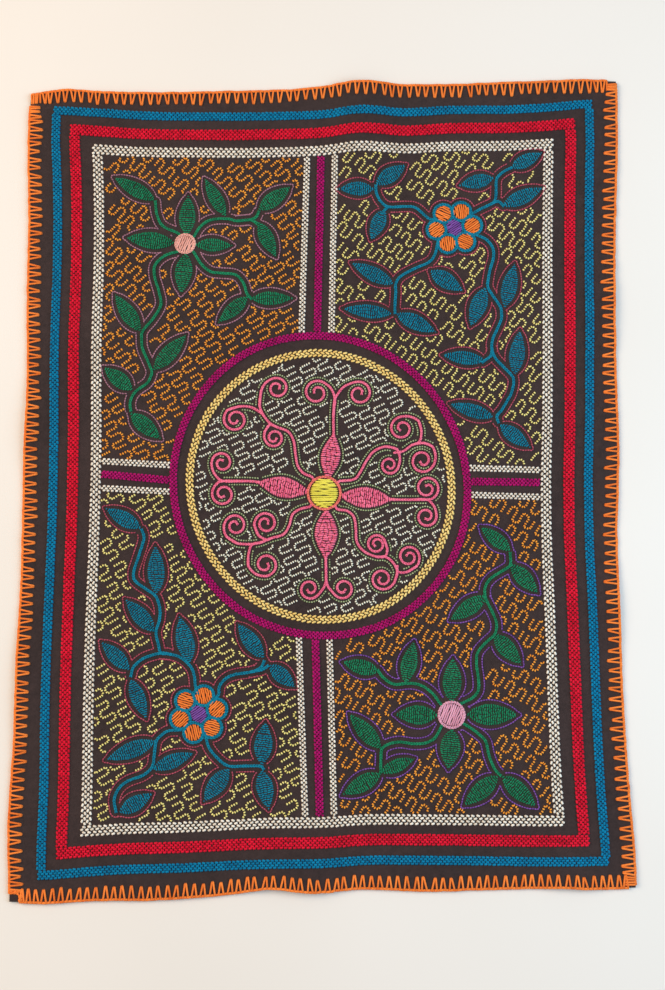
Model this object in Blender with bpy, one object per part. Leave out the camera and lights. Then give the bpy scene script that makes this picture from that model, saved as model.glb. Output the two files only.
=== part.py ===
# A Shipibo ceremony cloth: one rectangular panel of dark cotton, laid flat and face up, with its edge
# overcast in yarn and its stitched bands, bars and rings standing a little proud of the cloth.
# Metres, +Z up. The origin is under the middle of the cloth, +Y runs along its length.

import bpy
import numpy as np
from functools import partial
from mathutils import Vector
from mathutils.geometry import delaunay_2d_cdt

# Driving dimensions. Everything up to the mesh itself is worked out in millimetres.
MM = 0.001
CLOTH_WIDTH = 680.0
CLOTH_LENGTH = 910.0
CLOTH_THICKNESS = 1.8
STITCH_RISE = 0.9
STITCH_SLANT = 1.3

# The edge is rolled over and overcast with yarn: how far in the yarn's top and foot lie, and their heights.
RIM_INSETS = (0.0, 1.4, 3.0)
RIM_RISES = (0.3, 0.9, 0.0)

# How far the uneven edge reaches past the plain rectangle, in mm.
# Columns: place along the side from its middle, reach outwards.
TOP_EDGE = ((-340, -8), (-300, -2), (-250, -6), (-200, -6), (-130, -4.5), (-30, -1.5), (38, 5.5),
            (100, 3.5), (240, 7.5), (305, 9.5), (340, 8.5))
BOTTOM_EDGE = ((-340, 9), (-300, 10), (-250, 7), (-190, 6.5), (-130, 3), (-95, -0.5), (-58, -5.5),
               (-10, -1.5), (40, -5), (110, -3), (180, -4.5), (260, -6), (300, -5), (340, -6))
LEFT_EDGE = ((-455, 1), (-380, 3.5), (-290, 0), (-200, -1), (-115, -3.5), (20, -3.5), (90, -5),
             (200, -2.5), (300, -2), (390, 1), (455, 0))
RIGHT_EDGE = ((-455, -0.5), (-410, -1.5), (-366, -4.5), (-280, -9), (-150, -12), (-60, -12.5), (30, -8.5),
              (120, -9.5), (215, -9), (310, -5.5), (400, -1.5), (455, -1))

# The middle of the white frame band, in mm. Columns: place along the side, distance from the cloth's middle.
TOP_FRAME = ((-300, 385), (-260, 382), (-215, 379), (-150, 378), (-80, 378), (-10, 380), (45, 384),
             (100, 383), (140, 385.5), (220, 386.5), (260, 389), (300, 393))
BOTTOM_FRAME = ((-300, 392.5), (-260, 389), (-220, 386.5), (-150, 384.5), (-100, 382), (-50, 380),
                (0, 379.5), (50, 376.5), (100, 376.5), (160, 377), (230, 378), (300, 377.5))
LEFT_FRAME = ((-400, 260), (-350, 259), (-250, 259.5), (-150, 258.5), (-50, 256.5), (50, 256.5),
              (150, 258.5), (250, 257.5), (340, 259.5), (390, 262.5))
RIGHT_FRAME = ((-410, 259.5), (-375, 257.5), (-340, 255.5), (-250, 253), (-150, 251), (-60, 249),
               (0, 249.5), (50, 251.5), (150, 254), (250, 255.5), (350, 258), (390, 259.5))

# Columns: thread, distance outside the white band's middle at top and bottom, the same at the sides, width.
FRAME_BANDS = (
    ("white", 0.0, 0.0, 12.0),
    ("red", 21.5, 25.7, 11.0),
    ("blue", 43.4, 47.6, 11.0),
)

# Two rings, slightly taller than wide. Columns: thread, half width, half height of the middle line, width.
RING_CENTRE = (-4.0, -7.0)
RINGS = (
    ("magenta", 164.5, 168.9, 7.6),
    ("gold", 147.5, 151.5, 8.6),
)
# How far the rings bend outwards from an even oval. Columns: direction in degrees, magenta, gold.
RING_BENDS = (
    (0, 0.5, 0.0),
    (30, -2.5, -3.0),
    (60, -2.0, -3.5),
    (90, 0.5, -2.0),
    (120, 3.5, -0.5),
    (150, 3.0, 0.5),
    (180, 0.5, -1.0),
    (210, -1.5, -2.5),
    (240, -0.5, -1.5),
    (270, 0.5, 0.5),
    (300, 4.5, 3.5),
    (330, 4.5, 3.0),
)

# Bars from the ring to the white frame. Columns: thread, side, offset at the ring, offset at the frame.
BARS = (
    ("white", "top", -25.5, -19.5),
    ("magenta", "top", -7.5, -3.5),
    ("white", "top", 8.5, 12.5),
    ("white", "bottom", -27.5, -20.0),
    ("magenta", "bottom", -9.0, -4.0),
    ("white", "bottom", 6.5, 11.5),
    ("white", "left", 14.0, 18.5),
    ("magenta", "left", -3.0, 4.0),
    ("white", "left", -16.0, -12.0),
    ("white", "right", 11.0, 8.5),
    ("magenta", "right", -4.5, -5.5),
    ("white", "right", -19.5, -22.0),
)
BAR_WIDTH = 6.6
BAR_OVERLAP = 3.2

# The cloth touches the surface inside this rectangle, and its worked edge curls up a little outside it.
CONTACT_HALF_WIDTH = 318.0
CONTACT_HALF_LENGTH = 434.0
EDGE_CURL = 0.8
CURL_REACH = 20.0

# Where the laid cloth lifts off the surface. Columns: name, centre x, centre y, direction it runs in
# degrees, half length, half width, height.
FOLDS = (
    ("hump at the top edge", 46, 466, 90, 200, 50, 8.0),
    ("fold running down from it", 30, 330, 92, 150, 34, 2.6),
    ("lift of the bottom edge", -34, -466, 90, 120, 75, 6.5),
    ("lift near the bottom right", 268, -464, 90, 90, 48, 4.5),
    ("crease across the middle", -10, 26, 1, 420, 22, 1.8),
    ("wave of the left edge", -344, 62, 0, 70, 75, 4.0),
    ("lower wave of the left edge", -344, -236, 0, 60, 80, 3.0),
    ("wave of the right edge", 334, 196, 0, 60, 85, 3.6),
    ("lower wave of the right edge", 332, -150, 0, 60, 90, 3.0),
    ("lift near the top left", -236, 458, 90, 70, 70, 3.0),
)

# How closely the mesh follows its lines: on the flat, on a fold, and round the rings.
FLAT_STEP = 24.0
FOLD_STEP = 12.0
RING_SEGMENTS = 80
LIFTED = 0.15
MERGE_DISTANCE = 0.01
CORNER_PASSES = 8
# The triangulation's way of keeping only what lies inside the outline.
KEEP_INSIDE = 1

SIGNS = {"top": 1, "bottom": -1, "left": -1, "right": 1}
EDGE_SIDES = {"top": TOP_EDGE, "bottom": BOTTOM_EDGE, "left": LEFT_EDGE, "right": RIGHT_EDGE}
FRAME_SIDES = {"top": TOP_FRAME, "bottom": BOTTOM_FRAME, "left": LEFT_FRAME, "right": RIGHT_FRAME}

# Colour (linear), for each thread and for the cotton.
COLOURS = {
    "cotton": (0.030, 0.024, 0.021),
    "orange": (0.76, 0.16, 0.035),
    "blue": (0.004, 0.16, 0.36),
    "red": (0.55, 0.012, 0.03),
    "white": (0.80, 0.70, 0.58),
    "magenta": (0.40, 0.010, 0.14),
    "gold": (0.80, 0.58, 0.16),
}
SLOTS = list(COLOURS)


def clear_scene():
    for thing in list(bpy.data.objects):
        bpy.data.objects.remove(thing, do_unlink=True)


def smooth_through(table, place):
    """A smooth curve through a table's rows, read at one place or at many."""
    at, value = np.array(table, dtype=float).T
    slope = np.gradient(value, at)
    place = np.clip(place, at[0], at[-1])
    row = np.clip(np.searchsorted(at, place) - 1, 0, len(at) - 2)
    span = at[row + 1] - at[row]
    u = (place - at[row]) / span
    start = (2 * u**3 - 3 * u**2 + 1) * value[row] + (u**3 - 2 * u**2 + u) * span * slope[row]
    return start + (3 * u**2 - 2 * u**3) * value[row + 1] + (u**3 - u**2) * span * slope[row + 1]


def fold_height(x, y):
    """How high the folds lift the cloth."""
    height = np.zeros(np.shape(x))
    for _, centre_x, centre_y, direction, half_length, half_width, rise in FOLDS:
        turn = np.radians(direction)
        along = (x - centre_x) * np.cos(turn) + (y - centre_y) * np.sin(turn)
        across = (y - centre_y) * np.cos(turn) - (x - centre_x) * np.sin(turn)
        swell = np.cos(np.clip(along / half_length, -1, 1) * np.pi / 2)
        swell = swell * np.cos(np.clip(across / half_width, -1, 1) * np.pi / 2)
        height = height + rise * swell**2
    return height


def lift(x, y):
    """Height of the underside above the surface, which is zero where the cloth touches it."""
    outside = np.maximum(np.abs(x) - CONTACT_HALF_WIDTH, np.abs(y) - CONTACT_HALF_LENGTH)
    return fold_height(x, y) + EDGE_CURL * (np.maximum(outside, 0) / CURL_REACH) ** 1.5


def edge_side(side, place):
    """The uneven edge's distance from the middle on one side."""
    nominal = CLOTH_LENGTH / 2 if side in ("top", "bottom") else CLOTH_WIDTH / 2
    return nominal + smooth_through(EDGE_SIDES[side], place)


def frame_side(side, place):
    """The white frame band's distance from the middle on one side."""
    return smooth_through(FRAME_SIDES[side], place)


def contact_side(side, place):
    """The distance from the middle of one side of the rectangle that touches the surface."""
    distance = CONTACT_HALF_LENGTH if side in ("top", "bottom") else CONTACT_HALF_WIDTH
    return np.full(np.shape(place), distance)


def depth_inside(side_distance, reach_ends, reach_sides, x, y):
    """How far inside a four-sided line a point lies. The reaches move its sides outwards."""
    return np.minimum.reduce([
        side_distance("top", x) + reach_ends - y,
        side_distance("bottom", x) + reach_ends + y,
        side_distance("left", y) + reach_sides + x,
        side_distance("right", y) + reach_sides - x,
    ])


def side_run(side_distance, side, reach, start, stop):
    """Points along one side from one place to another, without the last: close on folds, wide elsewhere."""
    count = int(abs(stop - start) / FOLD_STEP)
    place = np.linspace(start, stop, count + 1)[:-1]
    distance = SIGNS[side] * (side_distance(side, place) + reach)
    run = np.column_stack([place, distance] if side in ("top", "bottom") else [distance, place])
    every = round(FLAT_STEP / FOLD_STEP)
    return run[(np.arange(count) % every == 0) | (fold_height(*run.T) > LIFTED)]


def four_sided_loop(side_distance, reach_ends, reach_sides):
    """Points along a four-sided line, counter-clockwise from its bottom left corner."""
    def corner(end, side):
        x, y = 0.0, 0.0
        for _ in range(CORNER_PASSES):
            x = SIGNS[side] * (side_distance(side, y) + reach_sides)
            y = SIGNS[end] * (side_distance(end, x) + reach_ends)
        return x, y

    low_left, low_right = corner("bottom", "left"), corner("bottom", "right")
    high_right, high_left = corner("top", "right"), corner("top", "left")
    return np.vstack([
        side_run(side_distance, "bottom", reach_ends, low_left[0], low_right[0]),
        side_run(side_distance, "right", reach_sides, low_right[1], high_right[1]),
        side_run(side_distance, "top", reach_ends, high_right[0], high_left[0]),
        side_run(side_distance, "left", reach_sides, high_left[1], low_left[1]),
    ])


def frame_inside(reach_ends, reach_sides, width, x, y):
    """How far within a frame band's edges a point lies."""
    return width / 2 - np.abs(depth_inside(frame_side, reach_ends, reach_sides, x, y))


def ring_bend(ring, turn):
    """How far a ring bends out from its even oval in one direction or in many."""
    table = [(degrees + lap, bends[ring]) for lap in (-360, 0, 360) for degrees, *bends in RING_BENDS]
    return smooth_through(table, np.degrees(turn) % 360)


def ring_loop(ring, reach):
    """Points round a ring, `reach` outside its middle line."""
    _, half_width, half_height, _ = RINGS[ring]
    turn = np.arange(RING_SEGMENTS) * 2 * np.pi / RING_SEGMENTS
    grow = 1 + (reach + ring_bend(ring, turn)) / ((half_width + half_height) / 2)
    return np.column_stack([RING_CENTRE[0] + half_width * grow * np.cos(turn),
                            RING_CENTRE[1] + half_height * grow * np.sin(turn)])


def ring_inside(ring, x, y):
    """How far within a ring's edges a point lies."""
    _, half_width, half_height, width = RINGS[ring]
    part_x, part_y = (x - RING_CENTRE[0]) / half_width, (y - RING_CENTRE[1]) / half_height
    outside = (np.hypot(part_x, part_y) - 1) * (half_width + half_height) / 2
    return width / 2 - np.abs(outside - ring_bend(ring, np.arctan2(part_y, part_x)))


def bar_ends(side, at_ring, at_frame):
    """The two ends of a bar's middle line, each a little way into the band that it meets."""
    _, half_width, half_height, ring_width = RINGS[0]
    upright = side in ("top", "bottom")
    across, along = (half_width, half_height) if upright else (half_height, half_width)
    centre_across, centre_along = RING_CENTRE if upright else RING_CENTRE[::-1]
    part_across = (at_ring - centre_across) / across
    part_along = SIGNS[side] * np.sqrt(1 - part_across**2)
    turn = np.arctan2(part_along, part_across) if upright else np.arctan2(part_across, part_along)
    ring_reach = ring_width / 2 - BAR_OVERLAP + ring_bend(0, turn)
    frame_distance = frame_side(side, at_frame) - FRAME_BANDS[0][3] / 2 + BAR_OVERLAP
    ends = np.array([[at_ring, centre_along + part_along * along + SIGNS[side] * ring_reach],
                     [at_frame, SIGNS[side] * frame_distance]])
    return ends if upright else ends[:, ::-1]


def bar_axes(start, stop):
    length = np.linalg.norm(stop - start)
    along = (stop - start) / length
    return length, along, np.array([-along[1], along[0]])


def bar_loop(start, stop, inset):
    """The bar's outline, drawn `inset` inside its edges."""
    length, along, across = bar_axes(start, stop)
    place = np.linspace(inset, length - inset, int(length / FLAT_STEP) + 1)[:, None]
    middle = start + place * along
    half = BAR_WIDTH / 2 - inset
    return np.vstack([middle - half * across, (middle + half * across)[::-1]])


def bar_inside(start, stop, x, y):
    """How far within a bar's edges a point lies."""
    length, along, across = bar_axes(start, stop)
    place = (x - start[0]) * along[0] + (y - start[1]) * along[1]
    offset = (x - start[0]) * across[0] + (y - start[1]) * across[1]
    return np.minimum.reduce([BAR_WIDTH / 2 - np.abs(offset), place, length - place])


def stitched_bands():
    """Every raised band: its thread, how far within it a point lies, and its foot and crest lines."""
    bands = []
    for thread, reach_ends, reach_sides, width in FRAME_BANDS:
        lines = [four_sided_loop(frame_side, reach_ends + reach, reach_sides + reach)
                 for reach in foot_and_crest(width)]
        bands.append((thread, partial(frame_inside, reach_ends, reach_sides, width), lines))
    for ring, (thread, _, _, width) in enumerate(RINGS):
        lines = [ring_loop(ring, reach) for reach in foot_and_crest(width)]
        bands.append((thread, partial(ring_inside, ring), lines))
    for thread, side, at_ring, at_frame in BARS:
        start, stop = bar_ends(side, at_ring, at_frame)
        lines = [bar_loop(start, stop, inset) for inset in (0.0, STITCH_SLANT)]
        bands.append((thread, partial(bar_inside, start, stop), lines))
    return bands


def foot_and_crest(width):
    """How far each line of a band's two slanted sides lies outside the band's middle."""
    return (-width / 2, STITCH_SLANT - width / 2, width / 2 - STITCH_SLANT, width / 2)


def relief(bands, x, y):
    """Height of the stitching and of the overcast edge above the cloth."""
    rim_depth = depth_inside(edge_side, 0.0, 0.0, x, y)
    rise = np.interp(rim_depth, RIM_INSETS, RIM_RISES)
    for _, inside, _ in bands:
        rise = np.maximum(rise, STITCH_RISE * np.clip(inside(x, y) / STITCH_SLANT, 0, 1))
    return rise


def fold_grid(lines):
    """Points that carry the folds, kept clear of the lines that are already there."""
    xs = np.arange(-CLOTH_WIDTH / 2, CLOTH_WIDTH / 2 + 1, FOLD_STEP)
    ys = np.arange(-CLOTH_LENGTH / 2, CLOTH_LENGTH / 2 + 1, FOLD_STEP)
    x, y = (grid.ravel() for grid in np.meshgrid(xs, ys))
    near_fold = fold_height(x, y)
    for shift_x, shift_y in ((FOLD_STEP, 0), (-FOLD_STEP, 0), (0, FOLD_STEP), (0, -FOLD_STEP)):
        near_fold = np.maximum(near_fold, fold_height(x + shift_x, y + shift_y))
    keep = (near_fold > LIFTED) & (depth_inside(edge_side, 0.0, 0.0, x, y) > FOLD_STEP / 2)
    points = np.column_stack([x, y])[keep]
    gap = np.full(len(points), np.inf)
    for line in lines:
        for spot in line:
            gap = np.minimum(gap, np.hypot(points[:, 0] - spot[0], points[:, 1] - spot[1]))
    return points[gap > FOLD_STEP / 3]


def triangulate(loops, loose):
    """Triangles over a flat outline that keep every loop. Also gives each given point's new number."""
    spots = np.vstack(loops + [loose])
    links = []
    first = 0
    for loop in loops:
        count = len(loop)
        links += [(first + i, first + (i + 1) % count) for i in range(count)]
        first += count
    given = [Vector(spot) for spot in spots]
    flat, _, faces, sources, _, _ = delaunay_2d_cdt(given, links, [], KEEP_INSIDE, MERGE_DISTANCE)
    number = {old: new for new, merged in enumerate(sources) for old in merged}
    return np.array([tuple(point) for point in flat]), faces, number


def face_slots(bands, x, y):
    """The material at each point: a band's thread, the edge's yarn or the cotton."""
    slots = np.full(len(x), SLOTS.index("cotton"))
    slots[depth_inside(edge_side, 0.0, 0.0, x, y) < RIM_INSETS[-1]] = SLOTS.index("orange")
    for thread, inside, _ in reversed(bands):
        slots[inside(x, y) > 0] = SLOTS.index(thread)
    return slots.tolist()


def make_cloth():
    """One closed body: the stitched face, the plain underside and the edge between them."""
    bands = stitched_bands()
    outline = four_sided_loop(edge_side, 0.0, 0.0)
    rim = [four_sided_loop(edge_side, -inset, -inset) for inset in RIM_INSETS[1:]]
    lines = rim + [line for _, _, band_lines in bands for line in band_lines]

    upper, upper_faces, upper_number = triangulate([outline] + lines, fold_grid([outline] + lines))
    upper_z = lift(*upper.T) + CLOTH_THICKNESS + relief(bands, *upper.T)
    contact = four_sided_loop(contact_side, 0.0, 0.0)
    lower, lower_faces, lower_number = triangulate([outline, contact], fold_grid([outline, contact]))
    lower_z = lift(*lower.T)

    first = len(upper)
    points = np.vstack([np.column_stack([upper, upper_z]), np.column_stack([lower, lower_z])])
    faces = [tuple(face) for face in upper_faces]
    slots = face_slots(bands, *upper[np.array(upper_faces)].mean(axis=1).T)
    faces += [(first + a, first + c, first + b) for a, b, c in lower_faces]
    count = len(outline)
    for i in range(count):
        above, above_next = upper_number[i], upper_number[(i + 1) % count]
        below, below_next = first + lower_number[i], first + lower_number[(i + 1) % count]
        faces += [(below, below_next, above_next), (below, above_next, above)]
    slots += [SLOTS.index("cotton")] * (len(faces) - len(slots))

    middle = (points.min(axis=0) + points.max(axis=0)) / 2
    points[:, :2] -= middle[:2]
    mesh = bpy.data.meshes.new("cloth")
    mesh.from_pydata((points * MM).tolist(), [], faces)
    for name, colour in COLOURS.items():
        mesh.materials.append(make_material(name, colour))
    mesh.polygons.foreach_set("material_index", slots)
    mesh.update()
    cloth = bpy.data.objects.new("cloth", mesh)
    bpy.context.scene.collection.objects.link(cloth)
    return cloth


def make_material(name, colour):
    material = bpy.data.materials.new(name)
    material.use_nodes = True
    shader = material.node_tree.nodes["Principled BSDF"]
    shader.inputs["Base Color"].default_value = (*colour, 1.0)
    shader.inputs["Roughness"].default_value = 0.9
    shader.inputs["Metallic"].default_value = 0.0
    return material


clear_scene()
make_cloth()
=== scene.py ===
# The looks of a Shipibo ceremony cloth: dark cotton worked by hand with yarn and thread, laid flat.
# Lengths are in millimetres on the cloth's own plan and become metres when a piece is made.

import bpy
import math
import numpy as np
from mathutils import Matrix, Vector


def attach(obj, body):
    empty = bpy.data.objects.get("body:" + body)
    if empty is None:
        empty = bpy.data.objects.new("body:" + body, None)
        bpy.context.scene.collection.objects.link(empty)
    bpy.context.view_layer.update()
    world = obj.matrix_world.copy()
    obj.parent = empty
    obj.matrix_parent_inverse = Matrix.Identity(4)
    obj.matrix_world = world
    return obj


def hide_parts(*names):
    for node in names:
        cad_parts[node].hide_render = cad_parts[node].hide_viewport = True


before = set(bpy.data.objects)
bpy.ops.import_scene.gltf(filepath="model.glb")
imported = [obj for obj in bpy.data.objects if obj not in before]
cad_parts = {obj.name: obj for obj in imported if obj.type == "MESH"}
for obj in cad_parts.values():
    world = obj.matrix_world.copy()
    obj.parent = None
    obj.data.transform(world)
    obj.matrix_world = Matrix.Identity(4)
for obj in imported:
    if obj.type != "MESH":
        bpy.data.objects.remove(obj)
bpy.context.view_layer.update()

MM = 0.001
CLOTH_STEP = 5.0
HEM_WIDTH = 11.5
HEM_RISE = 0.5
RANDOM = np.random.default_rng(7)

# The sheet, as the solid has it.
CLOTH_WIDTH = 680.0
CLOTH_LENGTH = 910.0
CLOTH_THICKNESS = 1.8
CONTACT_HALF_WIDTH = 318.0
CONTACT_HALF_LENGTH = 434.0
EDGE_CURL = 0.8
CURL_REACH = 20.0

# Columns: place along the side from its middle, reach outwards.
TOP_EDGE = ((-340, -8), (-300, -2), (-250, -6), (-200, -6), (-130, -4.5), (-30, -1.5), (38, 5.5),
            (100, 3.5), (240, 7.5), (305, 9.5), (340, 8.5))
BOTTOM_EDGE = ((-340, 9), (-300, 10), (-250, 7), (-190, 6.5), (-130, 3), (-95, -0.5), (-58, -5.5),
               (-10, -1.5), (40, -5), (110, -3), (180, -4.5), (260, -6), (300, -5), (340, -6))
LEFT_EDGE = ((-455, 1), (-380, 3.5), (-290, 0), (-200, -1), (-115, -3.5), (20, -3.5), (90, -5),
             (200, -2.5), (300, -2), (390, 1), (455, 0))
RIGHT_EDGE = ((-455, -0.5), (-410, -1.5), (-366, -4.5), (-280, -9), (-150, -12), (-60, -12.5), (30, -8.5),
              (120, -9.5), (215, -9), (310, -5.5), (400, -1.5), (455, -1))

# The middle of the white frame band. Columns: place along the side, distance from the cloth's middle.
TOP_FRAME = ((-300, 385), (-260, 382), (-215, 379), (-150, 378), (-80, 378), (-10, 380), (45, 384),
             (100, 383), (140, 385.5), (220, 386.5), (260, 389), (300, 393))
BOTTOM_FRAME = ((-300, 392.5), (-260, 389), (-220, 386.5), (-150, 384.5), (-100, 382), (-50, 380),
                (0, 379.5), (50, 376.5), (100, 376.5), (160, 377), (230, 378), (300, 377.5))
LEFT_FRAME = ((-400, 260), (-350, 259), (-250, 259.5), (-150, 258.5), (-50, 256.5), (50, 256.5),
              (150, 258.5), (250, 257.5), (340, 259.5), (390, 262.5))
RIGHT_FRAME = ((-410, 259.5), (-375, 257.5), (-340, 255.5), (-250, 253), (-150, 251), (-60, 249),
               (0, 249.5), (50, 251.5), (150, 254), (250, 255.5), (350, 258), (390, 259.5))

# Columns: name, centre x, centre y, direction in degrees, half length, half width, height.
FOLDS = (
    ("hump at the top edge", 46, 466, 90, 200, 50, 8.0),
    ("fold running down from it", 30, 330, 92, 150, 34, 2.6),
    ("lift of the bottom edge", -34, -466, 90, 120, 75, 6.5),
    ("lift near the bottom right", 268, -464, 90, 90, 48, 4.5),
    ("crease across the middle", -10, 26, 1, 420, 22, 1.8),
    ("wave of the left edge", -344, 62, 0, 70, 75, 4.0),
    ("lower wave of the left edge", -344, -236, 0, 60, 80, 3.0),
    ("wave of the right edge", 334, 196, 0, 60, 85, 3.6),
    ("lower wave of the right edge", 332, -150, 0, 60, 90, 3.0),
    ("lift near the top left", -236, 458, 90, 70, 70, 3.0),
)

# Ripples of the cotton. Columns: wavelength, direction, phase, height.
PUCKERS = (
    (38, 0.3, 1.1, 0.10),
    (27, 1.9, 4.0, 0.08),
    (61, 2.6, 0.5, 0.14),
    (95, 1.2, 2.2, 0.18),
    (19, 0.9, 3.0, 0.05),
)

SIGNS = {"top": 1, "bottom": -1, "left": -1, "right": 1}
EDGE_SIDES = {"top": TOP_EDGE, "bottom": BOTTOM_EDGE, "left": LEFT_EDGE, "right": RIGHT_EDGE}
FRAME_SIDES = {"top": TOP_FRAME, "bottom": BOTTOM_FRAME, "left": LEFT_FRAME, "right": RIGHT_FRAME}

# Bands of the frame, worked in close rows of running stitch. Columns: piece, thread, distance outside the white
# band's middle at the ends and at the sides, width, rows, stitch pitch, part of the pitch covered, half width,
# slant of the stitches to each side of their row.
FRAME_BANDS = (
    ("frame_white", "white_thread", 0.0, 0.0, 12.0, 4, 5.8, 0.78, 1.36, 0.8),
    ("frame_red", "red_thread", 21.5, 25.7, 12.2, 5, 4.9, 0.98, 1.42, 0.5),
    ("frame_blue", "blue_thread", 43.4, 47.6, 9.8, 4, 4.7, 1.02, 1.46, 0.5),
)
RING_CENTRE = (-4.0, -7.0)
# Columns: piece, thread, half width, half height of the middle line, then as above.
RINGS = (
    ("ring_magenta", "magenta_thread", 164.5, 168.9, 8.4, 4, 4.4, 0.98, 1.32, 0.4),
    ("ring_gold", "gold_thread", 147.5, 151.5, 9.0, 3, 5.6, 0.96, 1.26, 1.3),
)
# How far the rings bend outwards from an even oval. Columns: direction in degrees, magenta, gold.
RING_BENDS = (
    (0, 0.5, 0.0),
    (30, -2.5, -3.0),
    (60, -2.0, -3.5),
    (90, 0.5, -2.0),
    (120, 3.5, -0.5),
    (150, 3.0, 0.5),
    (180, 0.5, -1.0),
    (210, -1.5, -2.5),
    (240, -0.5, -1.5),
    (270, 0.5, 0.5),
    (300, 4.5, 3.5),
    (330, 4.5, 3.0),
)
# Columns: thread, side, offset at the ring, offset at the frame.
BARS = (
    ("white", "top", -25.5, -19.5),
    ("magenta", "top", -7.5, -3.5),
    ("white", "top", 8.5, 12.5),
    ("white", "bottom", -27.5, -20.0),
    ("magenta", "bottom", -9.0, -4.0),
    ("white", "bottom", 6.5, 11.5),
    ("white", "left", 14.0, 18.5),
    ("magenta", "left", -3.0, 4.0),
    ("white", "left", -16.0, -12.0),
    ("white", "right", 11.0, 8.5),
    ("magenta", "right", -4.5, -5.5),
    ("white", "right", -19.5, -22.0),
)
BAR_WIDTH = 6.6
# Columns: thread, width, rows, stitch pitch, part of the pitch covered, half width, slant.
BAR_WORK = (
    ("white", 7.4, 3, 4.8, 0.78, 1.24, 0.5),
    ("magenta", 8.4, 4, 4.4, 0.96, 1.30, 0.4),
)
TWIST_LENGTH = 1.6

# Overcast edge: stitches that meet in points, their depth, the yarn and the rows of close stitches at corners.
EDGE_DEPTH = 15.0
YARN_HALF_WIDTH = 1.15
EDGE_SPREAD = 5.8
CLOSE_PITCH = 2.4
# Columns: side, pitch of the points, bare length and number of close stitches at its left or lower end, the same
# at the other end.
EDGE_RUNS = (
    ("top", 10.1, 0.8, 5, 10.5, 1),
    ("bottom", 9.7, 11.0, 0, 7.5, 0),
    ("left", 9.7, 9.0, 0, 13.5, 4),
    ("right", 10.8, 3.0, 4, 2.8, 4),
)

# Running stitch fillings. Columns: name, thread, direction of the legs in degrees, distance to the point that
# they fan out from, strip pitch, leg length, leg pitch, roundness of the turns, stitch pitch, half width.
FILLS = (
    ("top_left", "amber_thread", 40, 640, 18.4, 13.4, 7.5, 1.0, 2.95, 1.50),
    ("top_right", "lemon_thread", 52, 6000, 18.2, 13.4, 7.5, 1.0, 2.95, 1.30),
    ("bottom_left", "lemon_thread", 30, 6000, 18.4, 13.6, 7.5, 0.9, 2.95, 1.34),
    ("bottom_right", "amber_thread", 57, 6000, 18.4, 13.4, 7.5, 1.0, 2.95, 1.46),
    ("middle", "cream_thread", 25, 6000, 18.2, 14.0, 7.1, 0.4, 2.75, 1.24),
)

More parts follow.
